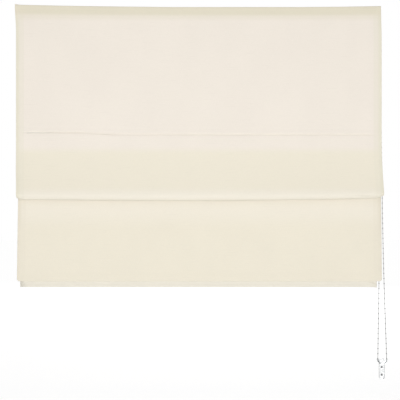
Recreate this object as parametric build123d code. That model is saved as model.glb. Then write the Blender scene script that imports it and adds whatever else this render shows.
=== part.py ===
from build123d import *
import os
from math import atan2, degrees, hypot, pi, sin

# Roman blind on a chain-driven head rail, in millimetres.
# X runs along the rail, the wall is the plane Y = 0 with the room on its -Y side, and Z is up.
# The origin lies midway between the two wall screws of the middle bracket.

# Clearances and the overrun of every cut
cut_overrun = 1.0
running_gap = 0.05
slip_gap = 0.1
free_gap = 0.3

# Head rail: a channel open at the top, with lips turned inwards
rail_height = 26.0
rail_depth = 34.0
rail_wall = 1.4
rail_lip = 7.0
rail_corner = 1.0
rail_wall_gap = 3.0

# Wall brackets: bent spring steel that grips both lips of the rail from inside
bracket_thickness = 1.5
bracket_width = 28.0
bracket_end_inset = 200.0
bracket_bend = 2.0
hook_reach = 4.5
tongue_width = 12.0
bracket_hole_radius = 2.25
bracket_hole_spacing = 16.0

# Tapes that hold the cloth to the rail
tape_height = 20.0
hook_tape_thickness = 1.8
loop_tape_thickness = 1.5

# Cloth
cloth_width = 1300.0
cloth_thickness = 0.8
head_cover = 1.5
side_hem_width = 28.0
front_rod_drop = 450.0
fold_drop = 235.0
fold_bulge = 22.0
fold_radius = 15.5
bulge_start_drop = 56.0
crest_radius = 2.0
lift_rod_drop = 62.0
lift_line_to_face = 18.7
lower_panel_drop = 466.0
hem_bead_radius = 1.2
hem_turn_up = 30.0

# Rods and their sewn pockets
rod_radius = 2.5
rod_end_inset = 32.0
pocket_end_inset = 38.0
pocket_seam_height = 4.0
tip_rim = 0.7
tip_length = 3.0

# Weight bar along the bottom, in its tunnel
bar_thickness = 3.0
bar_height = 26.0
bar_end_inset = 24.0
tunnel_end_inset = 12.0
tunnel_hang = 24.0
tunnel_corner = 2.4
bar_tip_length = 8.0

# Drive shaft, cord spools and their cradles
shaft_side = 5.0
cord_radius = 0.7
cord_sides = 6
cord_edge_inset = 125.0
cord_count = 4
spool_core_radius = 8.0
spool_flange_radius = 9.8
spool_flange = 1.4
spool_core_length = 20.0
spool_taper_share = 0.3
journal_radius = 4.5
cradle_wall = 3.0
cradle_rim = 3.0
cradle_base = 1.2
eyelet_wall = 1.4
eyelet_bore = 2.0
eye_sides = 8

# Idle end of the rail
cap_plate = 3.0
cap_inset = 7.0
spigot_length = 12.0
bush_radius = 4.8
bush_flange = 1.5

# Chain drive at the other end
bead_diameter = 4.5
bead_pitch = 6.0
pocket_count = 12
pocket_sides = 6
wheel_width = 8.4
wheel_rim = 1.0
string_radius = 0.6
hub_radius = 5.2
housing_height = 31.0
housing_length = 19.0
housing_wall = 3.0
housing_corner = 6.0
cover_thickness = 2.0
cover_post_radius = 3.0
cover_post_length = 3.5
drive_end_inset = 1.0
wheel_side_gap = 0.6
chain_exit_room = 0.7

# Clips, stops and connector on the cords and the chain
clip_wall = 1.5
clip_length = 8.0
clip_eye_radius = 4.5
clip_eye_bore = 2.2
clip_eye_height = 3.0
clip_sides = 12
stop_radius = 4.2
stop_height = 7.0
connector_wall = 1.2
connector_length = 13.0
connector_place_share = 0.72

# Chain holder, moulded in clear plastic and screwed to the wall
holder_plate = 3.0
holder_flange = 2.0
holder_flange_rim = 5.5
holder_stem_width = 20.0
holder_stem_length = 66.0
holder_rim_wall = 2.0
holder_rim_height = 9.0
holder_hole_radius = 2.1
holder_hole_sink = 4.0
holder_hole_drop = 30.0
holder_hole_spacing = 28.0

# Route of the bead chain: out of the housing, down, round the holder and back up
chain_loop_radius = 15.5
chain_route = [
    (642.2, -31.6, -10.5),
    (653.5, -28.5, -430.0),
    (676.0, -12.0, -1262.0),
    (644.0, -12.0, -1262.0),
    (642.2, -8.4, -10.5),
]

# Places along the rail
half_width = cloth_width / 2
drive_end_x = half_width - drive_end_inset
cover_inner_x = drive_end_x - cover_thickness
rail_right_x = cover_inner_x - housing_length
cap_outer_x = cap_inset - half_width
rail_left_x = cap_outer_x + cap_plate
wheel_x = cover_inner_x - wheel_side_gap - wheel_width / 2
bracket_x = half_width - bracket_end_inset
cord_reach = half_width - cord_edge_inset
cord_places = [cord_reach * (2 * i / (cord_count - 1) - 1) for i in range(cord_count)]

# Places from the wall and in height
rail_top_z = rail_height / 2
rail_mid_y = -rail_wall_gap - rail_depth / 2
rail_front_y = -rail_wall_gap - rail_depth
rail_inner_depth = rail_depth - 2 * rail_wall
rail_inner_height = rail_height - 2 * rail_wall
rail_floor_z = -rail_inner_height / 2
cord_y = rail_mid_y + spool_core_radius + free_gap + cord_radius
loop_tape_y = rail_front_y - hook_tape_thickness
cloth_back_y = loop_tape_y - loop_tape_thickness
face_y = cloth_back_y - cloth_thickness / 2
head_z = rail_top_z + bracket_thickness + head_cover
front_rod_z = head_z - front_rod_drop
tip_radius = rod_radius + tip_rim
pocket_bore = tip_radius + slip_gap
pocket_outer = pocket_bore + cloth_thickness
front_rod_y = cloth_back_y + pocket_bore
upper_end_z = front_rod_z - pocket_outer - pocket_seam_height
bulge_z = front_rod_z - bulge_start_drop
crest_y = face_y + lift_line_to_face
crest_z = front_rod_z - lift_rod_drop
lift_rod_z = crest_z + crest_radius + cloth_thickness / 2 + pocket_bore
lower_y = crest_y + crest_radius
lower_end_z = crest_z - lower_panel_drop
bead_radius = bead_diameter / 2
pitch_radius = bead_pitch / (2 * sin(pi / pocket_count))
wheel_radius = pitch_radius + wheel_rim


def along_x(section, start, end):
    """A solid of one section in the Y-Z plane, from one place along the rail to another."""
    return extrude(Plane.YZ.offset(start) * section, amount=end - start)


def both_ends(section, inner, outer):
    """Two like solids, one at each end of the blind."""
    return along_x(section, inner, outer) + along_x(section, -outer, -inner)


def turned(profile_points):
    """A solid turned about the shaft's axis from (place along X, radius) points."""
    section = make_face(Polyline(*profile_points, close=True))
    return Pos(0, rail_mid_y, 0) * revolve(section, axis=Axis.X)


def cord_eye(radius, bottom, top):
    """The upright hole that a lift cord passes through."""
    section = Pos(0, cord_y, bottom) * RegularPolygon(radius, eye_sides, major_radius=False)
    return extrude(section, amount=top - bottom)


def make_headrail():
    slot = rail_inner_depth - 2 * rail_lip
    section = RectangleRounded(rail_depth, rail_height, rail_corner)
    section -= Rectangle(rail_inner_depth, rail_inner_height)
    section -= Pos(0, rail_top_z) * Rectangle(slot, 2 * rail_wall + cut_overrun)
    rail = along_x(Pos(rail_mid_y, 0) * section, rail_left_x, rail_right_x)
    hole_side = 2 * (eyelet_bore + eyelet_wall)
    for x in cord_places:
        rail -= Pos(x, cord_y, -rail_top_z) * Box(hole_side, hole_side, 2 * (rail_wall + cut_overrun))
    return rail


def make_tape(front_y, thickness):
    mid_z = rail_top_z - rail_corner - tape_height / 2
    section = Pos(front_y + thickness / 2, mid_z) * Rectangle(thickness, tape_height)
    reach = half_width - side_hem_width - free_gap
    left = max(-reach, rail_left_x)
    return along_x(section, left, min(reach, rail_right_x))


def make_bracket(x):
    half_sheet = bracket_thickness / 2
    arm_z = rail_top_z + half_sheet
    toe_z = rail_top_z - rail_wall - free_gap - half_sheet
    front_lip_y = rail_front_y + rail_wall + rail_lip
    back_lip_y = -rail_wall_gap - rail_wall - rail_lip
    front_y = front_lip_y + free_gap + half_sheet
    back_y = back_lip_y - free_gap - half_sheet
    arm_line = FilletPolyline(
        (-half_sheet, -rail_top_z), (-half_sheet, arm_z), (rail_mid_y, arm_z), radius=bracket_bend,
    )
    hook_line = Polyline(
        (rail_mid_y, arm_z), (front_y, arm_z), (front_y, toe_z), (front_lip_y - hook_reach, toe_z),
    )
    tongue_line = Polyline(
        (rail_mid_y, arm_z), (back_y, arm_z), (back_y, toe_z), (back_lip_y + hook_reach, toe_z),
    )
    bracket = along_x(trace(arm_line, bracket_thickness), -bracket_width / 2, bracket_width / 2)
    for line in (hook_line, tongue_line):
        bracket += along_x(trace(line, bracket_thickness), -tongue_width / 2, tongue_width / 2)
    for spot in GridLocations(bracket_hole_spacing, 0, 2, 1):
        hole = Plane.XZ * spot * Circle(bracket_hole_radius)
        bracket -= extrude(hole, amount=bracket_thickness + cut_overrun)
    return Pos(x, 0, 0) * bracket


def spigot_section():
    """The plug of an end piece, which slips into the rail."""
    plug = Rectangle(rail_inner_depth - 2 * slip_gap, rail_inner_height - 2 * slip_gap)
    return Pos(rail_mid_y, 0) * plug


def make_idle_end_cap():
    plate = Pos(rail_mid_y, 0) * RectangleRounded(rail_depth, rail_height, rail_corner)
    cap = along_x(plate, cap_outer_x, rail_left_x)
    cap += along_x(spigot_section(), rail_left_x, rail_left_x + spigot_length)
    bore = Pos(rail_mid_y, 0) * Circle(bush_radius + running_gap)
    return cap - along_x(bore, rail_left_x, rail_left_x + spigot_length + cut_overrun)


def square_bore(start, end):
    """The square hole of a piece that the shaft turns."""
    hole = Rectangle(shaft_side + 2 * slip_gap, shaft_side + 2 * slip_gap)
    return along_x(Pos(rail_mid_y, 0) * hole, start, end)


def make_idle_bush():
    start = rail_left_x + free_gap
    flange_start = rail_left_x + spigot_length + free_gap
    end = flange_start + bush_flange
    bush = turned([
        (start, 0), (start, bush_radius), (flange_start, bush_radius),
        (flange_start, bush_radius + bush_flange), (end, bush_radius + bush_flange), (end, 0),
    ])
    return bush - square_bore(start + bush_flange, end + cut_overrun)


def make_drive_shaft():
    start = rail_left_x + free_gap + bush_flange + slip_gap
    end = wheel_x - wheel_width / 2
    return along_x(Pos(rail_mid_y, 0) * Rectangle(shaft_side, shaft_side), start, end)


def make_spools():
    """Cord spools with one flange; the cord is laid on at the foot of the taper and pushes along."""
    taper = spool_core_length / 2 - spool_core_length * spool_taper_share
    flange = spool_core_length / 2 + spool_flange
    end = flange + free_gap + cradle_wall
    spool = turned([
        (-end, 0), (-end, journal_radius), (-flange, journal_radius), (-flange, spool_core_radius),
        (taper, spool_core_radius), (flange, spool_flange_radius),
        (flange, journal_radius), (end, journal_radius), (end, 0),
    ])
    spool -= square_bore(-end - cut_overrun, end + cut_overrun)
    return Compound([Pos(x, 0, 0) * spool for x in cord_places])


def make_spool_cradles():
    """Moulded cradles that the spools drop into from above, each with the cord's eyelet in its base."""
    inner = spool_core_length / 2 + spool_flange + free_gap
    outer = inner + cradle_wall
    base_width = rail_inner_depth - 2 * slip_gap
    base = Pos(rail_mid_y, rail_floor_z + cradle_base / 2) * Rectangle(base_width, cradle_base)
    bore = journal_radius + running_gap
    wall_place = Pos(rail_mid_y, (journal_radius + rail_floor_z) / 2)
    wall = wall_place * Rectangle(2 * (journal_radius + cradle_rim), journal_radius - rail_floor_z)
    wall -= Pos(rail_mid_y, 0) * Circle(bore)
    wall -= Pos(rail_mid_y, journal_radius) * Rectangle(2 * bore, 2 * journal_radius)
    cradle = along_x(base, -outer, outer) + both_ends(wall, inner, outer)
    eyelet_low = rail_floor_z - cut_overrun
    eyelet_high = rail_floor_z + cradle_base + cut_overrun
    cradle -= cord_eye(eyelet_bore, eyelet_low, eyelet_high)
    return Compound([Pos(x, 0, 0) * cradle for x in cord_places])


def make_chain_wheel():
    """Bead wheel: two rims with a ring of pockets between them, notched for the chain's string."""
    left = wheel_x - wheel_width / 2
    right = wheel_x + wheel_width / 2
    hub_end = rail_right_x - spigot_length
    pocket_radius = bead_radius + slip_gap
    ring_left = wheel_x - pocket_radius
    ring_right = wheel_x + pocket_radius
    root = pitch_radius - pocket_radius
    wheel = turned([
        (hub_end, 0), (hub_end, hub_radius), (left, hub_radius), (left, wheel_radius),
        (ring_left, wheel_radius), (ring_left, root), (ring_right, root),
        (ring_right, wheel_radius), (right, wheel_radius), (right, 0),
    ])
    ring = Circle(wheel_radius)
    for spot in PolarLocations(pitch_radius, pocket_count):
        ring -= spot * RegularPolygon(pocket_radius, pocket_sides, major_radius=False)
    ring = along_x(Pos(rail_mid_y, 0) * ring, ring_left, ring_right)
    notch_half = string_radius + free_gap
    notch_bottom = pitch_radius - notch_half
    notch_top = wheel_radius + cut_overrun
    ring -= turned([
        (wheel_x - notch_half, notch_bottom), (wheel_x + notch_half, notch_bottom),
        (wheel_x + notch_half, notch_top), (wheel_x - notch_half, notch_top),
    ])
    wheel += ring
    wheel -= square_bore(hub_end - cut_overrun, left + slip_gap)
    post_bore = Pos(rail_mid_y, 0) * Circle(cover_post_radius + running_gap)
    return wheel - along_x(post_bore, right - cover_post_length, right + cut_overrun)


def housing_plate():
    return Pos(rail_mid_y, 0) * RectangleRounded(rail_depth, housing_height, housing_corner)


def make_control_housing():
    housing = along_x(housing_plate(), rail_right_x, cover_inner_x)
    housing += along_x(spigot_section(), rail_right_x - spigot_length, rail_right_x)
    room = Pos(rail_mid_y, 0) * Circle(wheel_radius + wheel_side_gap)
    housing -= along_x(room, rail_right_x + housing_wall, cover_inner_x + cut_overrun)
    bore = Pos(rail_mid_y, 0) * Circle(hub_radius + running_gap)
    housing -= along_x(bore, rail_right_x - spigot_length - cut_overrun, cover_inner_x)
    exit_side = bead_diameter + 2 * chain_exit_room
    exit_height = housing_height / 2 + cut_overrun
    for y in (rail_mid_y - pitch_radius, rail_mid_y + pitch_radius):
        housing -= Pos(wheel_x, y, -exit_height / 2) * Box(exit_side, exit_side, exit_height)
    return housing


def make_control_cover():
    cover = along_x(housing_plate(), cover_inner_x, drive_end_x)
    post = Pos(rail_mid_y, 0) * Circle(cover_post_radius)
    wheel_right = wheel_x + wheel_width / 2
    return cover + along_x(post, wheel_right - cover_post_length + free_gap, drive_end_x)


def make_lift_cords():
    end_z = lift_rod_z - clip_eye_height / 2 + slip_gap
    section = Plane.XY.offset(end_z) * RegularPolygon(cord_radius, cord_sides)
    cord = Pos(0, cord_y, 0) * extrude(section, amount=-end_z)
    return Compound([Pos(x, 0, 0) * cord for x in cord_places])


def panel(y, bottom, top):
    """Section of one flat layer of cloth."""
    return Pos(y, (bottom + top) / 2) * Rectangle(cloth_thickness, top - bottom)


def hemmed(section, hem_section):
    """A stretch of cloth over the whole width, with its two turned side hems."""
    cloth = along_x(section, -half_width, half_width)
    return cloth + both_ends(hem_section, half_width - side_hem_width, half_width)


def make_cloth_upper():
    cloth = hemmed(
        panel(face_y, upper_end_z, head_z),
        panel(face_y + cloth_thickness, upper_end_z, head_z),
    )
    seam_height = 2 * (pocket_outer + pocket_seam_height)
    seam_y = cloth_back_y + cloth_thickness / 2
    tunnel = Pos(front_rod_y, front_rod_z) * Circle(pocket_outer)
    tunnel += Pos(seam_y, front_rod_z) * Rectangle(cloth_thickness, seam_height)
    tunnel -= Pos(cloth_back_y - pocket_outer, front_rod_z) * Rectangle(2 * pocket_outer, seam_height)
    reach = half_width - pocket_end_inset
    cloth += along_x(tunnel, -reach, reach)
    bore = Pos(front_rod_y, front_rod_z) * Circle(pocket_bore)
    return cloth - along_x(bore, -reach, reach)


def pleat_path(shift):
    """Line of the soft pleat, from below the front rod down round the fold and up to the crest.

    A positive shift gives the parallel line on the reverse side of the cloth.
    """
    fold_y = face_y - fold_bulge + fold_radius
    fold_z = front_rod_z - fold_drop + fold_radius
    drop = bulge_z - fold_z
    inward = fold_y - face_y
    bulge_radius = (drop ** 2 + inward ** 2 - fold_radius ** 2) / (2 * fold_bulge)
    bulge_turn = degrees(atan2(drop, bulge_radius + inward))
    rise = crest_z - fold_z
    back = crest_y - fold_y
    span = hypot(rise, back)
    lean = (fold_radius + crest_radius) / span
    heading = degrees(atan2(rise, back)) + degrees(atan2(lean, (1 - lean ** 2) ** 0.5))
    run = span * (1 - lean ** 2) ** 0.5
    front = Line((face_y + shift, upper_end_z), (face_y + shift, bulge_z))
    bulge = JernArc(front @ 1, front % 1, bulge_radius + shift, -bulge_turn)
    fold = JernArc(bulge @ 1, bulge % 1, fold_radius - shift, 90 + heading + bulge_turn)
    rising = Line(fold @ 1, fold @ 1 + (fold % 1) * run)
    return Wire([front, bulge, fold, rising]), heading


def make_cloth_pleat():
    face_line, _ = pleat_path(0)
    hem_line, _ = pleat_path(cloth_thickness)
    return hemmed(trace(face_line, cloth_thickness), trace(hem_line, cloth_thickness))


def make_cloth_lower():
    pleat_line, heading = pleat_path(0)
    crest = JernArc(pleat_line @ 1, pleat_line % 1, crest_radius, -90 - heading)
    hang = Line(crest @ 1, (lower_y, lower_end_z + hem_bead_radius))
    turn = JernArc(hang @ 1, hang % 1, hem_bead_radius, 180)
    turn_up = Line(turn @ 1, turn @ 1 + (turn % 1) * hem_turn_up)
    section = trace(Wire([crest, hang, turn, turn_up]), cloth_thickness)
    hem_bottom = lower_end_z + hem_bead_radius + hem_turn_up + cloth_thickness
    cloth = hemmed(section, panel(lower_y + cloth_thickness, hem_bottom, crest_z))
    pocket = Pos(crest_y, lift_rod_z) * Circle(pocket_outer)
    pocket_reach = half_width - pocket_end_inset
    cloth += along_x(pocket, -pocket_reach, pocket_reach)
    bore = Pos(crest_y, lift_rod_z) * Circle(pocket_bore)
    cloth -= along_x(bore, -pocket_reach, pocket_reach)
    depth, height = tunnel_size()
    tunnel = RectangleRounded(depth, height, tunnel_corner)
    tunnel -= offset(tunnel, -cloth_thickness)
    tunnel_reach = half_width - tunnel_end_inset
    return cloth + along_x(Pos(*tunnel_place()) * tunnel, -tunnel_reach, tunnel_reach)


def tunnel_size():
    """Outer depth and height of the tunnel round the weight bar."""
    room = 2 * (cloth_thickness + free_gap)
    return bar_thickness + room, bar_height + room + 2 * tunnel_corner


def tunnel_place():
    """Middle of the bar's tunnel, which is sewn to the turned-up hem and hangs below it."""
    depth, height = tunnel_size()
    front_y = lower_y + 2 * hem_bead_radius - cloth_thickness / 2
    return front_y + depth / 2, lower_end_z - tunnel_hang + height / 2


def make_bottom_bar():
    reach = half_width - bar_end_inset - bar_tip_length
    return along_x(Pos(*tunnel_place()) * Rectangle(bar_thickness, bar_height), -reach, reach)


def make_bottom_bar_tips():
    end = half_width - bar_end_inset
    section = Pos(*tunnel_place()) * SlotOverall(bar_height, bar_thickness, 90)
    return both_ends(section, end - bar_tip_length, end)


def make_rod(y, z):
    reach = half_width - rod_end_inset
    return along_x(Pos(y, z) * Circle(rod_radius), -reach, reach)


def make_rod_tips(y, z):
    """Moulded caps on the two ends of a rod, just outside its pocket."""
    rod_end = half_width - rod_end_inset
    return both_ends(Pos(y, z) * Circle(tip_radius), rod_end, rod_end + tip_length)


def make_cord_clips():
    """Split rings clipped round the lift rod's pocket, each with a tab that the cord goes through."""
    inner = pocket_outer + free_gap
    outer = inner + clip_wall
    gap = 2 * (crest_radius + cloth_thickness + free_gap)
    ring = RegularPolygon(outer, clip_sides, major_radius=False)
    ring -= RegularPolygon(inner, clip_sides, major_radius=False)
    ring -= Pos(0, -outer) * Rectangle(gap, 2 * outer)
    clip = along_x(Pos(crest_y, lift_rod_z) * ring, -clip_length / 2, clip_length / 2)
    tab_start = crest_y + inner + clip_wall / 2
    tab_end = cord_y + clip_eye_radius
    tab = Box(clip_length, tab_end - tab_start, clip_eye_height)
    clip += Pos(0, (tab_start + tab_end) / 2, lift_rod_z) * tab
    low = lift_rod_z - clip_eye_height / 2
    clip -= cord_eye(clip_eye_bore, low - cut_overrun, low + clip_eye_height + cut_overrun)
    return Compound([Pos(x, 0, 0) * clip for x in cord_places])


def make_cord_stops():
    """Bell-shaped stops that hold the knots of the cord ends, drawn up against the tabs."""
    top = lift_rod_z - clip_eye_height / 2
    foot = RegularPolygon(stop_radius, eye_sides)
    neck = Pos(0, 0, stop_height) * RegularPolygon(clip_eye_bore + slip_gap, eye_sides)
    stop = loft([foot, neck], ruled=True)
    return Compound([Pos(x, cord_y, top - stop_height) * stop for x in cord_places])


def make_bead_chain():
    line = FilletPolyline(*chain_route, radius=chain_loop_radius)
    section = RegularPolygon(bead_radius, cord_sides)
    tube = sweep(Plane(line @ 0, z_dir=line % 0) * section, path=line)
    plain_volume = section.area * line.length
    print("chain loop radius", chain_loop_radius, "length", round(line.length, 1))
    print("tube volume over section times length", round(tube.volume / plain_volume, 4))
    start_z = chain_route[0][2] - bead_radius
    front_y = rail_mid_y - pitch_radius
    back_y = rail_mid_y + pitch_radius
    rise = Line((wheel_x, front_y, start_z), (wheel_x, front_y, 0))
    over = ThreePointArc(rise @ 1, (wheel_x, rail_mid_y, pitch_radius), (wheel_x, back_y, 0))
    fall = Line(over @ 1, (wheel_x, back_y, start_z))
    string_path = Wire([rise, over, fall])
    string_section = RegularPolygon(string_radius, cord_sides)
    string = sweep(Plane(rise @ 0, z_dir=rise % 0) * string_section, path=string_path)
    return tube + string


def make_chain_connector():
    """Sleeve snapped over the two ends of the chain."""
    low = Vector(*chain_route[-2])
    high = Vector(*chain_route[-1])
    place = Plane(low + (high - low) * connector_place_share, z_dir=high - low)
    bore = bead_radius + free_gap
    ring = place * (Circle(bore + connector_wall) - Circle(bore))
    return extrude(ring, amount=connector_length)


def make_chain_tensioner():
    loop_x = (chain_route[-3][0] + chain_route[-2][0]) / 2
    loop_z = chain_route[-2][2] + chain_loop_radius
    chain_depth = -chain_route[-2][1]
    saddle = chain_loop_radius - bead_radius - free_gap
    rim = saddle + holder_flange_rim
    groove = bead_radius + free_gap

    def half_disc(radius):
        return Circle(radius) - Pos(0, radius) * Rectangle(2 * radius, 2 * radius)

    def stem(width):
        drop = Pos(0, -holder_stem_length / 2) * Rectangle(width, holder_stem_length)
        return drop + Pos(0, -holder_stem_length) * Circle(width / 2)

    def layer(section, start, end):
        return extrude(Plane.XZ.offset(start) * Pos(loop_x, loop_z) * section, amount=end - start)

    holder = layer(half_disc(rim) + stem(holder_stem_width), 0, holder_plate)
    holder += layer(half_disc(saddle), 0, chain_depth + groove)
    for start in (chain_depth - groove - holder_flange, chain_depth + groove):
        holder += layer(half_disc(rim), start, start + holder_flange)
    inner = stem(holder_stem_width - 2 * holder_rim_wall)
    holder += layer(stem(holder_stem_width) - inner - half_disc(rim), 0, holder_rim_height)
    for i in range(2):
        drop = Pos(0, -holder_hole_drop - i * holder_hole_spacing)
        holder -= layer(drop * Circle(holder_hole_radius), -cut_overrun, holder_plate + cut_overrun)
        sink = Plane.XZ.offset(holder_plate) * Pos(loop_x, loop_z) * drop * Circle(holder_hole_sink)
        holder -= extrude(sink, amount=-holder_plate / 2)
    return holder


nodes = {
    "headrail": make_headrail(),
    "hook_tape": make_tape(loop_tape_y, hook_tape_thickness),
    "loop_tape": make_tape(cloth_back_y, loop_tape_thickness),
    "bracket_left": make_bracket(-bracket_x),
    "bracket_middle": make_bracket(0),
    "bracket_right": make_bracket(bracket_x),
    "idle_end_cap": make_idle_end_cap(),
    "idle_bush": make_idle_bush(),
    "control_housing": make_control_housing(),
    "control_cover": make_control_cover(),
    "chain_wheel": make_chain_wheel(),
    "drive_shaft": make_drive_shaft(),
    "cloth_upper": make_cloth_upper(),
    "cloth_pleat": make_cloth_pleat(),
    "cloth_lower": make_cloth_lower(),
    "front_rod": make_rod(front_rod_y, front_rod_z),
    "front_rod_tips": make_rod_tips(front_rod_y, front_rod_z),
    "lift_rod": make_rod(crest_y, lift_rod_z),
    "lift_rod_tips": make_rod_tips(crest_y, lift_rod_z),
    "cord_clips": make_cord_clips(),
    "cord_stops": make_cord_stops(),
    "bottom_bar": make_bottom_bar(),
    "bottom_bar_tips": make_bottom_bar_tips(),
    "bead_chain": make_bead_chain(),
    "chain_connector": make_chain_connector(),
    "chain_tensioner": make_chain_tensioner(),
    "spools": make_spools(),
    "spool_cradles": make_spool_cradles(),
    "lift_cords": make_lift_cords(),
}
pleat_length = pleat_path(0)[0].length + front_rod_z - upper_end_z
print("cloth from the front rod to the crest", round(pleat_length, 1))
print("front rod", round(front_rod_z, 2), "lift rod", round(lift_rod_z, 2), "crest", round(crest_z, 2))

os.makedirs("parts", exist_ok=True)
for name, solid in nodes.items():
    export_step(solid, f"parts/{name}.step")
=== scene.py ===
from math import pi, radians

import bmesh
import bpy
import numpy as np
from mathutils import Matrix, Vector


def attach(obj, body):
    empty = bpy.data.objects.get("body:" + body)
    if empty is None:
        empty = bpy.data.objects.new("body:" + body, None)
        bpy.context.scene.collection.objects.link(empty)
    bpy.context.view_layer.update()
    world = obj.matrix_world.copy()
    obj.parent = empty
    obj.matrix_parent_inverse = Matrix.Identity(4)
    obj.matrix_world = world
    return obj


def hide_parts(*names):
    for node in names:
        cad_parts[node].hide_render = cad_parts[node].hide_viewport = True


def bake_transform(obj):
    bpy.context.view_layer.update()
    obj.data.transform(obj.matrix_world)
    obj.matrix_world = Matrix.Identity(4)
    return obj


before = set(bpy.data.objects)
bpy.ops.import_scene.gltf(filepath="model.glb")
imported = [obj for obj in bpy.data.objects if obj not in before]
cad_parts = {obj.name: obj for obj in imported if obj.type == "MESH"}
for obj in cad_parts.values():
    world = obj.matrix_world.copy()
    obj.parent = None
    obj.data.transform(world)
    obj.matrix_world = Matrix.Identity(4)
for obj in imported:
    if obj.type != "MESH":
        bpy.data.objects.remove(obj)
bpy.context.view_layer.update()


# Head rail: an extruded aluminium channel, open at the top, with a white baked powder coat.
# It snaps on to the wall brackets by its two lips and carries everything else.
def feed(tree, socket, value):
    """Links a value to a socket, or sets it there."""
    if isinstance(value, bpy.types.NodeSocket):
        tree.links.new(value, socket)
    else:
        socket.default_value = value


def node(tree, kind, inputs=None, **settings):
    """One shader node with its settings, and with its inputs set or linked by name or number."""
    made = tree.nodes.new(kind)
    for key, value in settings.items():
        setattr(made, key, value)
    for key, value in (inputs or {}).items():
        feed(tree, made.inputs[key], value)
    return made


def mixed(tree, factor, first, second):
    """A colour between two others, each linked or given by its three parts."""
    first, second = ((*colour, 1.0) if isinstance(colour, tuple) else colour for colour in (first, second))
    return node(tree, "ShaderNodeMix", {0: factor, 6: first, 7: second}, data_type="RGBA").outputs[2]


def ranged(tree, value, low, high, out_low=0.0, out_high=1.0, smooth=True):
    """A value carried from one range to another, and held at its ends."""
    inputs = {"Value": value, "From Min": low, "From Max": high, "To Min": out_low, "To Max": out_high}
    ease = "SMOOTHSTEP" if smooth else "LINEAR"
    return node(tree, "ShaderNodeMapRange", inputs, interpolation_type=ease).outputs["Result"]


def new_finish(name):
    """A new material with its node tree and its shader."""
    material = bpy.data.materials.new(name)
    material.use_nodes = True
    return material, material.node_tree, material.node_tree.nodes["Principled BSDF"]


def object_place(tree):
    """Object coordinates, to lay a pattern on."""
    return node(tree, "ShaderNodeTexCoord").outputs["Object"]


def wire(tree, shader, **sockets):
    """Links values to the shader's sockets, or sets them there."""
    for key, value in sockets.items():
        feed(tree, shader.inputs[key.replace("_", " ")], value)


def new_effect(name, inputs, outputs):
    """A node group that several finishes share, with its sockets made."""
    effect = bpy.data.node_groups.new(name, "ShaderNodeTree")
    for title, kind in inputs:
        effect.interface.new_socket(title, in_out="INPUT", socket_type=kind)
    for title in outputs:
        effect.interface.new_socket(title, in_out="OUTPUT", socket_type="NodeSocketFloat")
    return effect, effect.nodes.new("NodeGroupInput"), effect.nodes.new("NodeGroupOutput")


def dress(names, material):
    """Gives one finish to carried-over solids."""
    for name in names:
        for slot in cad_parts[name].material_slots:
            slot.material = material


# Grain is a fine skin over slow patches of tone, as powder coat and moulded plastic have.
noise_span = (0.3, 0.7)
grain, grain_in, grain_out = new_effect(
    "grain",
    [("Place", "NodeSocketVector"), ("Fineness", "NodeSocketFloat"), ("Patches", "NodeSocketFloat")],
    ["Skin", "Tone"],
)
for title, size, detail in (("Skin", "Fineness", 2.0), ("Tone", "Patches", 3.0)):
    noise = node(grain, "ShaderNodeTexNoise", {
        "Vector": grain_in.outputs["Place"], "Scale": grain_in.outputs[size], "Detail": detail})
    grain.links.new(noise.outputs["Fac"], grain_out.inputs[title])


def grained(name, pale, dark, rough, fineness, patches, skin_height, stretch=(1.0, 1.0, 1.0), **constants):
    """A coated, drawn or moulded finish: two near tones in slow patches under a fine skin."""
    material, tree, shader = new_finish(name)
    laid = node(tree, "ShaderNodeMapping", {"Vector": object_place(tree), "Scale": stretch})
    effect = node(tree, "ShaderNodeGroup", {
        "Place": laid.outputs["Vector"], "Fineness": fineness, "Patches": patches}, node_tree=grain)
    tone = effect.outputs["Tone"]
    bump = node(tree, "ShaderNodeBump", {
        "Height": effect.outputs["Skin"], "Strength": 0.5, "Distance": skin_height})
    wire(
        tree, shader,
        Base_Color=mixed(tree, ranged(tree, tone, *noise_span), dark, pale),
        Roughness=ranged(tree, tone, *noise_span, *rough),
        Normal=bump.outputs["Normal"],
        **constants,
    )
    return material


dress(["headrail"], grained(
    "rail_coat", pale=(0.83, 0.83, 0.81), dark=(0.78, 0.78, 0.75), rough=(0.34, 0.46),
    fineness=900.0, patches=14.0, skin_height=0.0003))


# Wall brackets: strip of zinc-plated spring steel, bent over the rail's lips.
# Each is held to the wall by two screws through its back.
dress(["bracket_left", "bracket_middle", "bracket_right"], grained(
    "zinc_plate", pale=(0.60, 0.61, 0.62), dark=(0.46, 0.47, 0.46), rough=(0.26, 0.44),
    fineness=1400.0, patches=90.0, skin_height=0.0002, Metallic=1.0))


# Drive along the rail: a square drawn shaft, a bush at its idle end and four moulded cord spools,
# each turning in a cradle that clicks into the rail.
dress(["drive_shaft"], grained(
    "drawn_steel", pale=(0.66, 0.66, 0.66), dark=(0.44, 0.45, 0.46), rough=(0.22, 0.40),
    fineness=700.0, patches=160.0, skin_height=0.0002, stretch=(0.01, 1.0, 1.0), Metallic=1.0))
dress(["spools", "spool_cradles", "idle_bush"], grained(
    "spool_plastic", pale=(0.80, 0.80, 0.78), dark=(0.73, 0.74, 0.73), rough=(0.38, 0.52),
    fineness=1200.0, patches=40.0, skin_height=0.0002))


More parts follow.
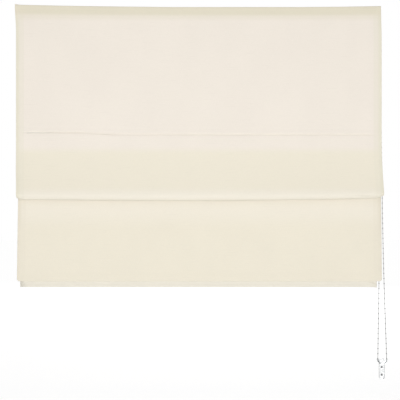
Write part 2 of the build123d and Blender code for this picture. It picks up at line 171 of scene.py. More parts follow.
# Ends of the rail: a moulded cap on the left, and on the right the housing of the chain drive with its
# cover and the bead wheel. Cap and housing plug into the channel.
dress(["idle_end_cap", "control_housing", "control_cover"], grained(
    "end_plastic", pale=(0.82, 0.82, 0.80), dark=(0.76, 0.76, 0.73), rough=(0.40, 0.54),
    fineness=1500.0, patches=30.0, skin_height=0.0003))
dress(["chain_wheel"], grained(
    "wheel_plastic", pale=(0.60, 0.61, 0.62), dark=(0.52, 0.53, 0.54), rough=(0.32, 0.46),
    fineness=1200.0, patches=60.0, skin_height=0.0002))


# Tapes that hold the cloth: a stiff hooked tape stuck to the rail's front, and a soft looped tape
# sewn to the back of the cloth's head. Both are woven nylon.
pile_span = (0.1, 0.7)


def piled(name, pale, dark, tufts, height):
    """A tape with a pile of small hooks or loops."""
    material, tree, shader = new_finish(name)
    pile = node(tree, "ShaderNodeTexVoronoi", {
        "Vector": object_place(tree), "Scale": tufts, "Randomness": 0.6}).outputs["Distance"]
    bump = node(tree, "ShaderNodeBump", {"Height": pile, "Strength": 0.8, "Distance": height}, invert=True)
    wire(
        tree, shader,
        Base_Color=mixed(tree, ranged(tree, pile, *pile_span), pale, dark),
        Roughness=ranged(tree, pile, *pile_span, 0.6, 0.85),
        Normal=bump.outputs["Normal"],
    )
    return material


dress(["hook_tape"], piled(
    "hook_tape", pale=(0.80, 0.79, 0.76), dark=(0.62, 0.61, 0.58), tufts=620.0, height=0.0008))
dress(["loop_tape"], piled(
    "loop_tape", pale=(0.82, 0.80, 0.76), dark=(0.70, 0.68, 0.63), tufts=900.0, height=0.0006))


# Face of the cloth: a plain-woven cream fabric, hemmed at both sides, that hangs from the tape past the
# front rod and folds under in one soft pleat. Its side hems are turned to the back and sewn.
# All rows are lengths along the cut cloth, from its head edge to the end of its bottom hem.
cloth_thick = 0.0008
hem_wide = 0.0272
hem_turn = 0.0006
edge_x = 0.650
flat_half = 0.619
inner_half = 0.612
side_start, side_wide = 0.45, 0.2
face_y = -0.0407
head_z = 0.016

seam_row = 0.4545
ridge_row = 0.4465
bulge_row = 0.506
fold_start, fold_row, fold_end = 0.66735, 0.69, 0.71945
pleat_row = 0.72872
crest_start, crest_end = 0.87795, 0.88414
foot_start, foot_end = 1.35294, 1.35671
hem_row = 1.38671
bulge_lean = -15.33
pleat_lean = 177.2

groove_deep = 0.0021
ridge_high = 0.0011
wave_deep, ripple_deep = 0.0010, 0.0005
pinch_deep = 0.0009
pinch_rows = (0.6765, 0.6825)
pinch_x, pinch_half = 0.585, 0.060
sag_row, sag_half = 0.700, 0.05
right_stray, head_pull = 0.0016, 0.0022
fold_stray, head_stray = 0.0045, 0.0040

cloth_cream = (0.880, 0.815, 0.730)
# Painted shade: the cream darkened, as the cloth looks where other layers hang behind it and over the lower
# panel.
cloth_shaded = (0.851, 0.797, 0.668)
# Painted shade of the rail and tapes behind the cloth's head.
head_shade = (0.776, 0.723, 0.584)
# Painted light: a lighter tone on the fold and at the top of the lower panel, where the fold's shade falls.
cloth_fold_lit = (0.872, 0.822, 0.715)
# Painted shade in the creases.
crease_shade = (0.690, 0.645, 0.535)
# Painted shade at the doubled side hems and their turned edges.
face_hem_shade = (0.795, 0.757, 0.628)


def cloth_line(start, bends, step=0.0002):
    """Line of a cloth in side view, from (length, heading) pairs.

    Heading 0 is straight down and 90 straight to the wall. Gives depth, height and heading at a length.
    """
    lengths, headings = np.array(bends).T
    spots = np.arange(0.0, lengths[-1] + step, step)
    turn = np.radians(np.interp(spots[:-1] + step / 2, lengths, headings))
    depth = start[0] + np.concatenate(([0.0], np.cumsum(np.sin(turn) * step)))
    height = start[1] - np.concatenate(([0.0], np.cumsum(np.cos(turn) * step)))

    def at(length):
        heading = np.radians(np.interp(length, lengths, headings))
        return np.interp(length, spots, depth), np.interp(length, spots, height), heading

    return at


def turned_edge(across):
    """Place along the rail and lift off the face for a spot of the cut cloth, hems turned back."""
    start = edge_x - hem_turn
    over = np.clip(np.abs(across) - start, 0.0, None)
    angle = np.clip(over / hem_turn, 0.0, pi)
    back = np.clip(over - pi * hem_turn, 0.0, None)
    reach = np.minimum(np.abs(across), start) + hem_turn * np.sin(angle) - back
    return np.sign(across) * reach, hem_turn * (1 - np.cos(angle))


def swell(value, middle, half):
    """A smooth bump of height 1, which ends at half to each side of its middle."""
    near = np.clip(1 - np.abs(np.asarray(value) - middle) / half, 0.0, 1.0)
    return near * near * (3 - 2 * near)


def add_piece(name, form, material):
    """A smooth piece from a finished form."""
    mesh = bpy.data.meshes.new(name)
    form.to_mesh(mesh)
    form.free()
    mesh.materials.append(material)
    mesh.shade_smooth()
    piece = bpy.data.objects.new(name, mesh)
    bpy.context.collection.objects.link(piece)
    return piece


def hang_sheet(name, across, along, place, material):
    """A cloth from a flat grid, each point of the cut moved to its place, then given its thickness."""
    cut = bmesh.new()
    bmesh.ops.create_grid(cut, x_segments=len(across) - 1, y_segments=len(along) - 1, size=1.0)
    spots = [(u, v) for v in along for u in across]
    u, v = np.array(spots).T
    for vert, point in zip(cut.verts, np.array(place(u, v)).T):
        vert.co = point
    cloth_map = cut.loops.layers.uv.new("cloth_map")
    for face in cut.faces:
        for loop in face.loops:
            loop[cloth_map].uv = spots[loop.vert.index]
    bmesh.ops.reverse_faces(cut, faces=cut.faces)
    sheet = add_piece(name, cut, material)
    thick = sheet.modifiers.new("thickness", "SOLIDIFY")
    thick.thickness = cloth_thick
    thick.offset = 0.0
    return sheet


def summed(tree, operation, first, second=0.5):
    """One sum on two values, or on the first where it takes only one."""
    return node(tree, "ShaderNodeMath", {0: first, 1: second}, operation=operation).outputs[0]


# Weave is the fabric's yarns, thick and thin, laid along its own map in metres.
weave, weave_in, weave_out = new_effect(
    "weave", [("Map", "NodeSocketVector")], ["Yarns", "Slubs", "Drift"])
yarns = {}
for title, scale, detail in (
    ("weft", (70.0, 1700.0, 1.0), 2.0),
    ("warp", (1700.0, 70.0, 1.0), 2.0),
    ("slub", (14.0, 420.0, 1.0), 3.0),
    ("drift", (7.0, 4.0, 1.0), 2.0),
):
    laid = node(weave, "ShaderNodeMapping", {"Vector": weave_in.outputs["Map"], "Scale": scale})
    yarns[title] = node(weave, "ShaderNodeTexNoise", {
        "Vector": laid.outputs["Vector"], "Scale": 1.0, "Detail": detail}).outputs["Fac"]
weave.links.new(summed(weave, "ADD", yarns["weft"], yarns["warp"]), weave_out.inputs["Yarns"])
weave.links.new(yarns["slub"], weave_out.inputs["Slubs"])
weave.links.new(yarns["drift"], weave_out.inputs["Drift"])
yarn_span = (0.7, 1.3)


def woven(name, colour, marks):
    """The blind's fabric. Each mark is a colour with the function that draws where it lies."""
    material, tree, shader = new_finish(name)
    cloth_map = node(tree, "ShaderNodeUVMap", uv_map="cloth_map").outputs["UV"]
    axes = node(tree, "ShaderNodeSeparateXYZ", {"Vector": cloth_map})
    effect = node(tree, "ShaderNodeGroup", {"Map": cloth_map}, node_tree=weave)
    drift = ranged(tree, effect.outputs["Drift"], *noise_span)
    tone = mixed(tree, drift, tuple(0.985 * part for part in colour), colour)
    for mark_colour, draw in marks:
        tone = mixed(tree, draw(tree, axes.outputs["X"], axes.outputs["Y"]), tone, mark_colour)
    yarn_tone = ranged(tree, effect.outputs["Yarns"], *yarn_span, 0.965, 1.0)
    slub_tone = ranged(tree, effect.outputs["Slubs"], 0.55, 0.75, 1.0, 0.97)
    shade = summed(tree, "MULTIPLY", yarn_tone, slub_tone)
    height = summed(tree, "ADD", effect.outputs["Yarns"], effect.outputs["Slubs"])
    bump = node(tree, "ShaderNodeBump", {"Height": height, "Strength": 0.35, "Distance": 0.0004})
    wire(
        tree, shader,
        Base_Color=node(tree, "ShaderNodeVectorMath", {0: tone, 1: shade}, operation="MULTIPLY").outputs[0],
        Roughness=ranged(tree, effect.outputs["Yarns"], *yarn_span, 0.95, 0.84),
        Normal=bump.outputs["Normal"],
        Sheen_Weight=0.15,
        Sheen_Roughness=0.5,
        Specular_IOR_Level=0.2,
    )
    return material


def hem_shade(tree, across, along):
    """Mask of painted shade at the two side hems, where the cloth is doubled, strongest at the turned edge.
    """
    side = summed(tree, "ABSOLUTE", across)
    broad = ranged(tree, side, 0.6200, 0.6240, 0.0, 0.35)
    edge = ranged(tree, side, 0.6330, 0.6470, 0.0, 0.65)
    return summed(tree, "ADD", broad, edge)


def stretch_along(start, end, fade, strength=1.0):
    """Mask of a stretch along the cloth, with soft ends."""
    def draw(tree, across, along):
        on = ranged(tree, along, start - fade, start + fade, 0.0, strength)
        off = ranged(tree, along, end - fade, end + fade, 1.0, 0.0)
        return summed(tree, "MULTIPLY", on, off)
    return draw


def crease(start_x, end_x, row, slope, half, strength):
    """Mask of painted shade along one crease across the cloth, strongest at its middle."""
    middle = (start_x + end_x) / 2

    def draw(tree, across, along):
        run = summed(tree, "MULTIPLY", summed(tree, "SUBTRACT", across, start_x), slope)
        below = summed(tree, "SUBTRACT", summed(tree, "SUBTRACT", along, row), run)
        line = ranged(tree, summed(tree, "ABSOLUTE", below), 0.0, half, strength, 0.0)
        grow = ranged(tree, across, start_x, middle)
        fade = ranged(tree, across, middle, end_x, 1.0, 0.0)
        return summed(tree, "MULTIPLY", line, summed(tree, "MULTIPLY", grow, fade))

    return draw


# Small strays of the hung cloth along the rail: each pair is places across and the heights there.
head_rise = (
    (-0.65, -0.63, -0.5, -0.34, -0.1, 0.36, 0.5, 0.6, 0.65),
    (0.0065, 0.004, 0.001, -0.0015, -0.004, -0.004, -0.003, -0.0015, -0.0005))
fold_droop = (
    (-0.65, -0.636, -0.6, -0.3, 0.0, 0.3, 0.6, 0.636, 0.65),
    (0.001, -0.005, -0.005, -0.007, -0.008, -0.006, -0.0005, 0.002, 0.010))
seam_wander = (
    (-0.62, -0.42, -0.30, 0.0, 0.62),
    (-0.0030, -0.0025, 0.0030, 0.0045, 0.0040))


def side_share(x):
    """How far out a spot is: 0 over the middle of the cloth, 1 at its edges."""
    return np.clip((np.abs(x) - side_start) / side_wide, 0.0, 1.0)


def flare(x, v):
    """Sideways stray of the edges: both to the right at the fold, and the left one out at the head."""
    right = right_stray - head_pull * swell(v, 0.0, 0.12) + fold_stray * swell(v, fold_row, 0.22)
    left = fold_stray * swell(v, fold_row, 0.13) - head_stray * swell(v, 0.0, 0.09)
    return side_share(x) * np.where(x > 0, right, left)


def fold_sag(x, v):
    """How far the fold droops along its length, at the rows near it."""
    return np.interp(x, *fold_droop) * swell(v, sag_row, sag_half)


def hang_face(u, v):
    """Place of the face cloth: head edge, rod seam, bulge and fold."""
    x, lift = turned_edge(u)
    shift = np.interp(x, *seam_wander)
    v = v + shift * swell(v, seam_row, 0.04)
    y, z, heading = cloth_path(v)
    z = z + np.interp(x, *head_rise) * swell(v, 0.0, 0.06) + fold_sag(x, v)
    groove = groove_deep * swell(v, seam_row + shift, 0.0034)
    groove = groove - ridge_high * swell(v, ridge_row + shift, 0.008)
    wave = wave_deep * np.sin(9.0 * x + 1.3) * np.sin(7.0 * v) + ripple_deep * np.sin(23.0 * x + 5.0 * v)
    pinch = sum(swell(v, row, 0.0030) for row in pinch_rows) * pinch_deep * swell(x, pinch_x, pinch_half)
    back = lift + (groove + wave * swell(v, 0.36, 0.36)) * (np.abs(x) < flat_half) + pinch
    x = x + flare(x, v)
    return x, y + back * np.cos(heading), z + back * np.sin(heading)


cloth_path = cloth_line((face_y, head_z), [
    (0.0, 0.0), (bulge_row, 0.0), (fold_start, bulge_lean), (fold_end, pleat_lean),
    (crest_start, pleat_lean), (crest_end, 0.0), (foot_start, 0.0), (foot_end, 180.0), (hem_row, 180.0)])
cut_half = edge_x - hem_turn + pi * hem_turn + hem_wide
cut_side = np.array([
    0.622, 0.632, 0.641, 0.647, 0.6494, 0.6498, 0.6503, 0.6508, 0.6513, 0.654, 0.664, cut_half])
cut_across = np.concatenate((-cut_side[::-1], np.linspace(-inner_half, inner_half, 69), cut_side))
face_rows = np.concatenate((
    [0.0, 0.003, 0.008], np.linspace(0.016, 0.432, 32), [0.438, 0.442, 0.445, 0.4475, 0.450, 0.452],
    [0.4530, 0.4538, seam_row, 0.4552, 0.4560, 0.458, 0.462], np.linspace(0.470, 0.665, 24),
    np.linspace(0.669, 0.688, 20), np.linspace(0.6904, 0.7195, 13), [0.7245, pleat_row]))
face_cloth = woven("cloth_upper", cloth_cream, [
    # Painted shade below the rod seam, where the pleat and the lower panel hang behind the face.
    (cloth_shaded, stretch_along(0.513, 2.0, 0.017)),
    # Painted light on the fold, lighter than the painted shade above it.
    (cloth_fold_lit, stretch_along(0.660, 2.0, 0.020)),
    # Painted shade at the side hems.
    (face_hem_shade, hem_shade),
    # Painted shade along the two pinched creases near the fold's right end.
    (crease_shade, crease(0.510, 0.660, pinch_rows[0], slope=0.0, half=0.0032, strength=0.40)),
    (crease_shade, crease(0.530, 0.660, pinch_rows[1], slope=0.0, half=0.0032, strength=0.45)),
    # Painted shade across the head, where the rail is behind the cloth.
    (head_shade, stretch_along(-1.0, 0.0310, 0.007)),
    (head_shade, stretch_along(-1.0, 0.0480, 0.009, 0.35)),
])
face = hang_sheet("face_cloth", cut_across, face_rows, hang_face, face_cloth)
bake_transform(face)
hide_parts("cloth_upper")


# Pocket of the front rod: a narrow strip of the same cloth, sewn to the back of the face above and below
# the rod, so that it stands off as a small tube.
front_pocket_long = 0.0267
strip_seam = (0.80, 0.745, 0.64)


def along_rod(path):
    """Places of a strip that follows one line in side view all along a rod."""
    return lambda u, v: (u, *path(v)[:2])


pocket_across = np.linspace(-inner_half, inner_half, 49)
front_pocket_path = cloth_line((-0.0398, -0.4279), [
    (0.0, 0.0), (0.0034, 0.0), (0.0040, 141.6), (0.0223, -141.6), (0.0229, 0.0), (front_pocket_long, 0.0)])
front_pocket_rows = np.concatenate((
    [0.0, 0.002], 0.0034 + 0.0195 * np.linspace(0.0, 1.0, 17), [0.0247, front_pocket_long]))
strip_cloth = woven("cloth_strip", cloth_cream, [
    (strip_seam, stretch_along(-1.0, 0.0012, 0.0006, 0.7)),
    (strip_seam, stretch_along(0.0255, 1.0, 0.0006, 0.7)),
])
front_pocket = hang_sheet(
    "front_rod_pocket", pocket_across, front_pocket_rows, along_rod(front_pocket_path), strip_cloth)
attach(front_pocket, "rail")
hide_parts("cloth_upper")


# Back of the pleat: the same cloth on its way up behind the fold to the lift rod, its hems turned back.
# It goes on from the face along one row, and leaves room for the cord clips when the panel is let down.
crest_inset = 0.0057
inset_start, inset_long = 0.73, 0.148
clip_room = 0.003
clip_row, clip_half = 0.815, 0.05
# Painted shade at the hems of the pleat's back.
back_hem_shade = (0.80, 0.745, 0.625)


def hang_back(u, v):
    """Place of the cloth that rises behind the fold."""
    x, lift = turned_edge(u)
    y, z, heading = cloth_path(v)
    inset = crest_inset * side_share(x) * np.clip((v - inset_start) / inset_long, 0.0, 1.0) * (x < 0)
    x = x + flare(x, v) + inset
    y = y - clip_room * swell(v, clip_row, clip_half)
    return x, y + lift * np.cos(heading), z + fold_sag(x, v) + lift * np.sin(heading)


# The pleat's back takes the fold's painted-light tone.
back_cloth = woven("cloth_pleat", cloth_fold_lit, [(back_hem_shade, hem_shade)])
back_rows = np.concatenate((np.linspace(pleat_row, 0.868, 18), [0.874, crest_start]))
back = hang_sheet("pleat_cloth", cut_across, back_rows, hang_back, back_cloth)
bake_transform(back)
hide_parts("cloth_pleat")


# Lower panel: the cloth from the lift rod's crest down to its bottom hem, which is turned up and sewn.
# It hangs free from the rod, and the bar in its tunnel pulls it straight.
panel_row, panel_long = 0.89, 0.46
right_out, right_spread, left_spread = 0.002, 0.005, 0.0070
corner_row, corner_round = 1.3548, 0.006
lower_wave = 0.0009
# Painted shade at the lower panel's side hems.
lower_hem_shade = (0.805, 0.750, 0.630)
# Painted shade along the turned-up foot hem, where the cloth is doubled.
foot_hem_shade = (0.835, 0.782, 0.655)


def hang_lower(u, v):
    """Place of the lower panel, a little wider at its foot, with rounded bottom corners."""
    x, lift = turned_edge(u)
    y, z, heading = cloth_path(v)
    foot = np.clip((v - panel_row) / panel_long, 0.0, 1.0)
    side = side_share(x)
    x = x + side * np.where(x > 0, right_out + right_spread * foot, crest_inset - left_spread * foot)
    x = x - side * np.sign(x) * corner_round * swell(v, corner_row, corner_round)
    wave = lower_wave * np.sin(8.0 * x + 0.6) * np.sin(9.0 * (v - 0.9)) * (np.abs(x) < flat_half)
    wave = wave * swell(v, 1.12, 0.2)
    return x, y + lift * np.cos(heading) + wave, z + lift * np.sin(heading)


# The lower panel's tone is the cream darkened with painted shade.
lower_cloth = woven("cloth_lower", cloth_shaded, [
    # Painted light at the top of the lower panel, under the fold.
    (cloth_fold_lit, stretch_along(-1.0, 1.130, 0.045)),
    # Painted shade at the side hems.
    (lower_hem_shade, hem_shade),
    # Painted shade along the turned-up foot hem.
    (foot_hem_shade, stretch_along(1.322, 1.4, 0.003, 0.5)),
])
lower_rows = np.concatenate((
    np.linspace(crest_start, crest_end, 8), [0.888, 0.895], np.linspace(0.91, 1.31, 30),
    [1.325, 1.335, 1.345], np.linspace(foot_start - 0.001, foot_end + 0.001, 9), [1.362, 1.370, hem_row]))
lower = hang_sheet("lower_cloth", cut_across, lower_rows, hang_lower, lower_cloth)
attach(lower, "lift")
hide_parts("cloth_lower")


# Pocket of the lift rod: a strip of the same cloth, folded round the rod behind the crest.
# Its two edges are sewn together to the lower panel.
lift_pocket_long = 0.02876
lift_pocket_path = cloth_line((-0.0226, -0.4969), [
    (0.0, -180.0), (0.0028, -180.0), (0.0033, -100.0), (0.02526, -440.0), (0.02576, -360.0),
    (lift_pocket_long, -360.0)])
lift_pocket_rows = np.concatenate((
    [0.0, 0.0015], 0.0028 + 0.02296 * np.linspace(0.0, 1.0, 21), [0.0272, lift_pocket_long]))
lift_pocket = hang_sheet(
    "lift_rod_pocket", pocket_across, lift_pocket_rows, along_rod(lift_pocket_path), strip_cloth)
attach(lift_pocket, "lift")
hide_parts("cloth_lower")


# Bar tunnel: a strip of the same cloth sewn into a flat tube behind the bottom hem, with the bar in it.
# Its front is creased near the right end, where the bar's tip pushes the cloth.
tunnel_left, tunnel_right = -0.640, 0.639
tunnel_front = 0.0297
tunnel_crease_x, tunnel_crease_row, tunnel_crease_slope = 0.598, 0.0100, 0.22
ridge_below, ridge_half = 0.0050, 0.0040
ridge_x, ridge_reach = 0.632, 0.030
tunnel_ridge = 0.0014
tunnel_drop = 0.0015
tunnel_cream = (0.831, 0.792, 0.690)
tunnel_seam = (0.79, 0.745, 0.63)
tunnel_path = cloth_line((-0.0176, -0.9554), [
    (0.0, 0.0), (tunnel_front, 0.0), (0.03284, 90.0), (0.03324, 90.0), (0.03638, 180.0), (0.06608, 180.0),
    (0.06922, 270.0), (0.06962, 270.0), (0.07276, 360.0)])


def hang_tunnel(u, v):
    """Place of the bar's tunnel, with the crease's ridge and a lower right end."""
    y, z, _ = tunnel_path(v)
    below = v - tunnel_crease_row - tunnel_crease_slope * (u - tunnel_crease_x)
    ridge = swell(below, ridge_below, ridge_half) * swell(u, ridge_x, ridge_reach) * (v < tunnel_front)
    return u, y - tunnel_ridge * ridge, z - tunnel_drop * swell(u, tunnel_right, ridge_reach)


tunnel_across = np.concatenate((np.linspace(tunnel_left, 0.6, 41), np.linspace(0.606, tunnel_right, 12)))
tunnel_rows = np.concatenate((
    np.linspace(0.0, tunnel_front, 17), np.linspace(0.0305, 0.03638, 8), np.linspace(0.042, 0.06608, 5),
    np.linspace(0.0670, 0.07276, 8)))
tunnel_cloth = woven("cloth_tunnel", tunnel_cream, [
    # Painted shade along the crease near the tunnel's right end, above its ridge.
    (crease_shade, crease(
        tunnel_crease_x, 0.646, tunnel_crease_row, tunnel_crease_slope, half=0.0030, strength=0.9)),
    (tunnel_seam, stretch_along(0.0225, 0.0245, 0.0006, 0.6)),
])
tunnel = hang_sheet("bar_tunnel", tunnel_across, tunnel_rows, hang_tunnel, tunnel_cloth)
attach(tunnel, "lift")
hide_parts("cloth_lower")


# Lift cords: four thin white cords, braided from polyester yarn. Each is wound on its spool and runs
# down behind the cloth through a clip on the lift rod's pocket, to a stop on its end.
cord_thick = 0.0014
cord_long = 0.4917
cord_y = -0.0110
cord_middle = -0.24
cord_places = (-0.525, -0.175, 0.175, 0.525)


def lay_route(name, points):
    """The smooth line of a cord's route, and the points along it."""
    line = bpy.data.curves.new(name, "CURVE")
    line.dimensions = "3D"
    spline = line.splines.new("NURBS")
    spline.points.add(len(points) - 1)
    for spot, point in zip(spline.points, points):
        spot.co = (*point, 1.0)
    spline.order_u = 3
    spline.use_endpoint_u = True
    spline.resolution_u = 24
    holder = bpy.data.objects.new(name, line)
    drawn = bpy.data.meshes.new_from_object(holder)
    spots = [vert.co.copy() for vert in drawn.vertices]
    bpy.data.meshes.remove(drawn)
    bpy.data.objects.remove(holder)
    return line, spots


braid, braid_tree, braid_shader = new_finish("cord_yarn")
braid_map = node(braid_tree, "ShaderNodeUVMap", uv_map="cord_map").outputs["UV"]
braid_tone = node(braid_tree, "ShaderNodeTexWave", {
    "Vector": braid_map, "Scale": 160.0, "Distortion": 0.4}).outputs["Fac"]
braid_bump = node(braid_tree, "ShaderNodeBump", {"Height": braid_tone, "Strength": 0.6, "Distance": 0.0003})
wire(
    braid_tree, braid_shader,
    Base_Color=mixed(braid_tree, braid_tone, (0.66, 0.64, 0.59), (0.84, 0.82, 0.77)),
    Roughness=ranged(braid_tree, braid_tone, 0.0, 1.0, 0.85, 0.65),
    Normal=braid_bump.outputs["Normal"],
)
for number, cord_x in enumerate(cord_places, start=1):
    cord_top, cord_foot = (cord_x, cord_y, 0.0), (cord_x, cord_y, -cord_long)
    cord_route = [cord_top, (cord_x, cord_y, cord_middle), cord_foot]
    line, spots = lay_route(f"lift_cord_line_{number}", cord_route)
    bpy.data.curves.remove(line)
    cord = bmesh.new()
    ring = bmesh.ops.create_circle(cord, segments=10, radius=cord_thick / 2)["verts"]
    bmesh.ops.translate(cord, verts=ring, vec=spots[0])
    rim = cord.edges[:]
    for before, after in zip(spots, spots[1:]):
        grown = bmesh.ops.extrude_edge_only(cord, edges=rim)["geom"]
        ring = [item for item in grown if isinstance(item, bmesh.types.BMVert)]
        rim = [item for item in grown if isinstance(item, bmesh.types.BMEdge)]
        bmesh.ops.translate(cord, verts=ring, vec=after - before)
    bmesh.ops.holes_fill(cord, edges=cord.edges)
    bmesh.ops.recalc_face_normals(cord, faces=cord.faces)
    cord_map = cord.loops.layers.uv.new("cord_map")
    for skin in cord.faces:
        for loop in skin.loops:
            off = loop.vert.co - Vector((cord_x, cord_y, loop.vert.co.z))
            loop[cord_map].uv = (np.arctan2(off.y, off.x) * cord_thick, loop.vert.co.z)
    piece = add_piece(f"lift_cord_{number}", cord, braid)
    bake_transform(piece)
    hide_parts("lift_cords")


# Rods, tips, clips and stops: pultruded glass-fibre rods with pushed-on moulded caps, white moulded clips
# on the lift rod's pocket, and the stops that hold the cord ends under them.
dress(["front_rod", "lift_rod"], grained(
    "rod_fibre", pale=(0.80, 0.79, 0.73), dark=(0.68, 0.67, 0.60), rough=(0.25, 0.42),
    fineness=800.0, patches=300.0, skin_height=0.0002, stretch=(0.02, 1.0, 1.0)))
dress(["front_rod_tips", "lift_rod_tips", "bottom_bar_tips"], grained(
    "tip_plastic", pale=(0.80, 0.80, 0.78), dark=(0.74, 0.74, 0.71), rough=(0.36, 0.50),
    fineness=1500.0, patches=80.0, skin_height=0.0002))
dress(["cord_clips", "cord_stops"], grained(
    "clip_plastic", pale=(0.78, 0.79, 0.78), dark=(0.70, 0.71, 0.70), rough=(0.20, 0.34),
    fineness=1200.0, patches=90.0, skin_height=0.0002))


# Weight bar: a flat extruded aluminium bar with its mill finish, which keeps the bottom of the cloth
# straight. It is slid into the tunnel from the side, and a moulded tip is pushed on each end.
dress(["bottom_bar"], grained(
    "bar_metal", pale=(0.80, 0.80, 0.81), dark=(0.68, 0.68, 0.69), rough=(0.30, 0.45),
    fineness=700.0, patches=40.0, skin_height=0.0003, stretch=(0.02, 1.0, 1.0), Metallic=1.0))


# Chain holder and connector: moulded in clear plastic with rounded edges. The holder is screwed to the wall
# and keeps the loop taut, and the connector snaps over the two end beads of the chain.
moulded_edge = 0.0006
sharp_angle = radians(35)
corner_angle = radians(50)
# The near-black rim colour is a painted dark refraction at the plastic's edges.
clear_dark, clear_pale, clear_rim_shade = (0.86, 0.88, 0.88), (0.95, 0.96, 0.96), (0.06, 0.06, 0.07)
clear, clear_tree, clear_shader = new_finish("clear_plastic")
clear_flow = node(clear_tree, "ShaderNodeTexNoise", {
    "Vector": object_place(clear_tree), "Scale": 90.0, "Detail": 2.0}).outputs["Fac"]
# Painted dark refraction: the base colour turns near black towards grazing angles, at the rims and edges.
clear_facing = node(clear_tree, "ShaderNodeLayerWeight", {"Blend": 0.35}).outputs["Facing"]
rim_shade_mask = ranged(clear_tree, clear_facing, 0.10, 0.5)
clear_body = mixed(clear_tree, clear_flow, clear_dark, clear_pale)
clear_bump = node(clear_tree, "ShaderNodeBump", {"Height": clear_flow, "Strength": 0.3, "Distance": 0.0006})
wire(
    clear_tree, clear_shader,
    Base_Color=mixed(clear_tree, rim_shade_mask, clear_body, clear_rim_shade),
    Roughness=ranged(clear_tree, clear_flow, *noise_span, 0.03, 0.12),
    Normal=clear_bump.outputs["Normal"],
    Transmission_Weight=1.0,
    IOR=1.49,
)
dress(["chain_connector"], clear)
mould = bmesh.new()
mould.from_mesh(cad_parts["chain_tensioner"].data)
bmesh.ops.remove_doubles(mould, verts=mould.verts, dist=0.000001)
bmesh.ops.dissolve_limit(mould, angle_limit=radians(1), verts=mould.verts, edges=mould.edges)
corners = [edge for edge in mould.edges if edge.is_manifold and edge.calc_face_angle() > corner_angle]
bmesh.ops.bevel(
    mould, geom=corners, offset=moulded_edge, offset_type="OFFSET", affect="EDGES", segments=2, profile=0.5,
    material=-1, clamp_overlap=True)
chain_holder = add_piece("chain_holder", mould, clear)
chain_holder.data.set_sharp_from_angle(angle=sharp_angle)
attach(chain_holder, "rail")
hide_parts("chain_tensioner")


# Screws of the chain holder: two zinc-plated pan heads with a cross recess, cold-formed from steel wire.
# They hold it to the wall, seated in its sunk holes.
screw_across = 0.0070
screw_top = 0.42 * screw_across
screw_high = 0.0024
screw_round = 0.3 * screw_high
screw_x, screw_seat = 0.660, -0.0016
screw_heights = (-1.2765, -1.3045)
cross_half = 0.0004
cross_reach = 0.0017
cross_deep = 0.5 * screw_high
screw_zinc = grained(
    "screw_zinc", pale=(0.30, 0.30, 0.31), dark=(0.18, 0.18, 0.19), rough=(0.24, 0.40),
    fineness=1500.0, patches=200.0, skin_height=0.0001, Metallic=1.0)
for number, screw_z in enumerate(screw_heights, start=1):
    screw = bmesh.new()
    bmesh.ops.create_cone(
        screw, cap_ends=True, segments=28, radius1=screw_across / 2, radius2=screw_top, depth=screw_high)
    rim = [edge for edge in screw.edges if all(vert.co.z > 0.0 for vert in edge.verts)]
    bmesh.ops.bevel(
        screw, geom=rim, offset=screw_round, offset_type="OFFSET", affect="EDGES", segments=3, profile=0.5,
        material=-1)
    for axis in (Vector((1.0, 0.0, 0.0)), Vector((0.0, 1.0, 0.0))):
        for cut in (-cross_reach, -cross_half, cross_half, cross_reach):
            every = screw.verts[:] + screw.edges[:] + screw.faces[:]
            bmesh.ops.bisect_plane(screw, geom=every, plane_co=axis * cut, plane_no=axis)
    recess = []
    for skin in screw.faces:
        off = sorted(abs(part) for part in skin.calc_center_median().xy)
        if skin.normal.z > 0.9 and off[0] < cross_half and off[1] < cross_reach:
            recess.append(skin)
    sunk = bmesh.ops.extrude_face_region(screw, geom=recess)["geom"]
    floor_verts = [item for item in sunk if isinstance(item, bmesh.types.BMVert)]
    bmesh.ops.translate(screw, verts=floor_verts, vec=(0.0, 0.0, -cross_deep))
    bmesh.ops.recalc_face_normals(screw, faces=screw.faces)
    bmesh.ops.rotate(screw, verts=screw.verts, cent=(0.0, 0.0, 0.0), matrix=Matrix.Rotation(pi / 2, 3, "X"))
    bmesh.ops.translate(screw, verts=screw.verts, vec=(screw_x, screw_seat - screw_high / 2, screw_z))
    screw_piece = add_piece(f"holder_screw_{number}", screw, screw_zinc)
    screw_piece.data.set_sharp_from_angle(angle=sharp_angle)
    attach(screw_piece, "rail")


# Bead chain: pale grey plastic beads, moulded on to a string whose ends meet in the connector.
# The loop runs from the wheel down round the holder and back up behind.
bead_across = 0.0045
bead_pitch = 0.018
string_across = 0.0018
chain_route = [
    (0.6422, -0.0316, -0.0105), (0.64293, -0.0314, -0.0375), (0.6535, -0.0285, -0.430),
    (0.6605, -0.0203, -0.860), (0.67514, -0.01263, -1.230), (0.676, -0.012, -1.262),
    (0.644, -0.012, -1.262), (0.64395, -0.0119, -1.230), (0.6500, -0.0109, -0.900),
    (0.64305, -0.0101, -0.600), (0.64224, -0.0085, -0.0375), (0.6422, -0.0084, -0.0105)]
chain_line, chain_spots = lay_route("chain_line", chain_route)
chain_line.bevel_depth = string_across / 2
chain_line.bevel_resolution = 1
chain_line.use_fill_caps = True
string_holder = bpy.data.objects.new("chain_string", chain_line)
string_mesh = bpy.data.meshes.new_from_object(string_holder)
chain = bmesh.new()
chain.from_mesh(string_mesh)
bpy.data.objects.remove(string_holder)
bpy.data.meshes.remove(string_mesh)
bpy.data.curves.remove(chain_line)
chain_parts = np.array(chain_spots).T
steps = [0.0]
for before, after in zip(chain_spots, chain_spots[1:]):
    steps.append(steps[-1] + (after - before).length)
bead_count = int(steps[-1] / bead_pitch)
for bead in range(bead_count):
    at = (bead + 0.5) * steps[-1] / bead_count
    middle = [np.interp(at, steps, part) for part in chain_parts]
    bmesh.ops.create_icosphere(
        chain, subdivisions=2, radius=bead_across / 2, matrix=Matrix.Translation(middle))
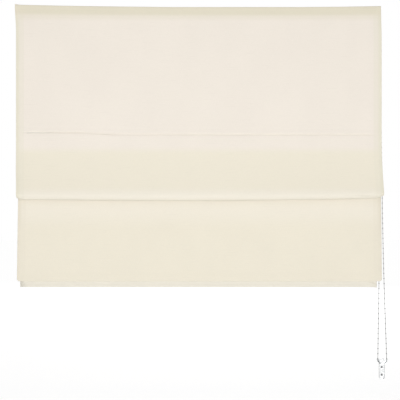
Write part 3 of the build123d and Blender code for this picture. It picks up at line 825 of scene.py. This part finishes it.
# Painted shade: the beads' colour is darkened to a mid grey.
chain_piece = add_piece("bead_chain_loop", chain, grained(
    "chain_plastic", pale=(0.34, 0.34, 0.33), dark=(0.24, 0.24, 0.24), rough=(0.26, 0.40),
    fineness=900.0, patches=120.0, skin_height=0.0001))
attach(chain_piece, "rail")
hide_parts("bead_chain")


# Stage: a pale painted floor, which isn't part of the blind, soft light from all round with two large
# lamps in front and one behind, and the camera straight before the cloth.
floor_half = 12.0
floor_z = -1.36
lamp_aim = Vector((0.0, 0.0, -0.6))


def seen_rays(tree):
    """Mask of what the camera sees, straight, in a gloss or through glass."""
    rays = node(tree, "ShaderNodeLightPath").outputs
    seen = summed(tree, "MAXIMUM", rays["Is Camera Ray"], rays["Is Glossy Ray"])
    return summed(tree, "MAXIMUM", seen, rays["Is Transmission Ray"])


floor_paint, floor_tree, floor_shader = new_finish("floor_paint")
floor_place = object_place(floor_tree)
floor_far = node(floor_tree, "ShaderNodeVectorMath", {0: floor_place}, operation="LENGTH").outputs["Value"]
floor_grain = node(floor_tree, "ShaderNodeTexNoise", {"Vector": floor_place, "Scale": 3.0}).outputs["Fac"]
floor_seen = seen_rays(floor_tree)
floor_pale = mixed(floor_tree, floor_grain, (0.925, 0.925, 0.925), (0.94, 0.94, 0.94))
wire(
    floor_tree, floor_shader,
    Base_Color=mixed(floor_tree, floor_seen, floor_pale, (0.35, 0.35, 0.35)),
    Roughness=0.9,
    Specular_IOR_Level=0.0,
)
floor_level = ranged(floor_tree, floor_far, 1.6, 5.0, 0.72, 0.80)
floor_glow = node(floor_tree, "ShaderNodeEmission", {
    "Strength": summed(floor_tree, "MULTIPLY", floor_seen, floor_level)})
floor_sum = node(floor_tree, "ShaderNodeAddShader", {
    0: floor_shader.outputs["BSDF"], 1: floor_glow.outputs["Emission"]})
floor_tree.links.new(floor_sum.outputs["Shader"], floor_tree.nodes["Material Output"].inputs["Surface"])
ground = bmesh.new()
bmesh.ops.create_grid(ground, x_segments=1, y_segments=1, size=floor_half)
bmesh.ops.translate(ground, verts=ground.verts, vec=(0.0, 0.0, floor_z))
add_piece("floor", ground, floor_paint)

world = bpy.data.worlds.new("studio")
bpy.context.scene.world = world
world.use_nodes = True
sky = world.node_tree
backdrop = sky.nodes["Background"]
backdrop.inputs["Color"].default_value = (1.0, 1.0, 1.0, 1.0)
sky_level = ranged(sky, seen_rays(sky), 0.0, 1.0, 0.55, 1.0, smooth=False)
sky.links.new(sky_level, backdrop.inputs["Strength"])

for name, place, power, size in (
    ("left_lamp", (-1.3, -3.4, -0.76), 30.0, 1.15),
    ("right_lamp", (1.3, -3.4, -0.76), 28.3, 1.15),
    ("back_lamp", (0.4, 3.4, 0.5), 56.0, 2.4),
):
    lamp = bpy.data.lights.new(name, "AREA")
    lamp.energy = power
    lamp.size = size
    holder = bpy.data.objects.new(name, lamp)
    holder.location = place
    holder.rotation_euler = (lamp_aim - Vector(place)).to_track_quat("-Z", "Y").to_euler()
    bpy.context.collection.objects.link(holder)

camera = bpy.data.cameras.new("camera")
camera.lens = 79.6
camera.sensor_width = 36.0
eye = bpy.data.objects.new("camera", camera)
eye.location = (0.005, -3.19, -0.675)
eye.rotation_euler = (radians(90), 0.0, 0.0)
bpy.context.collection.objects.link(eye)
bpy.context.scene.camera = eye
bpy.context.scene.view_settings.view_transform = "Standard"
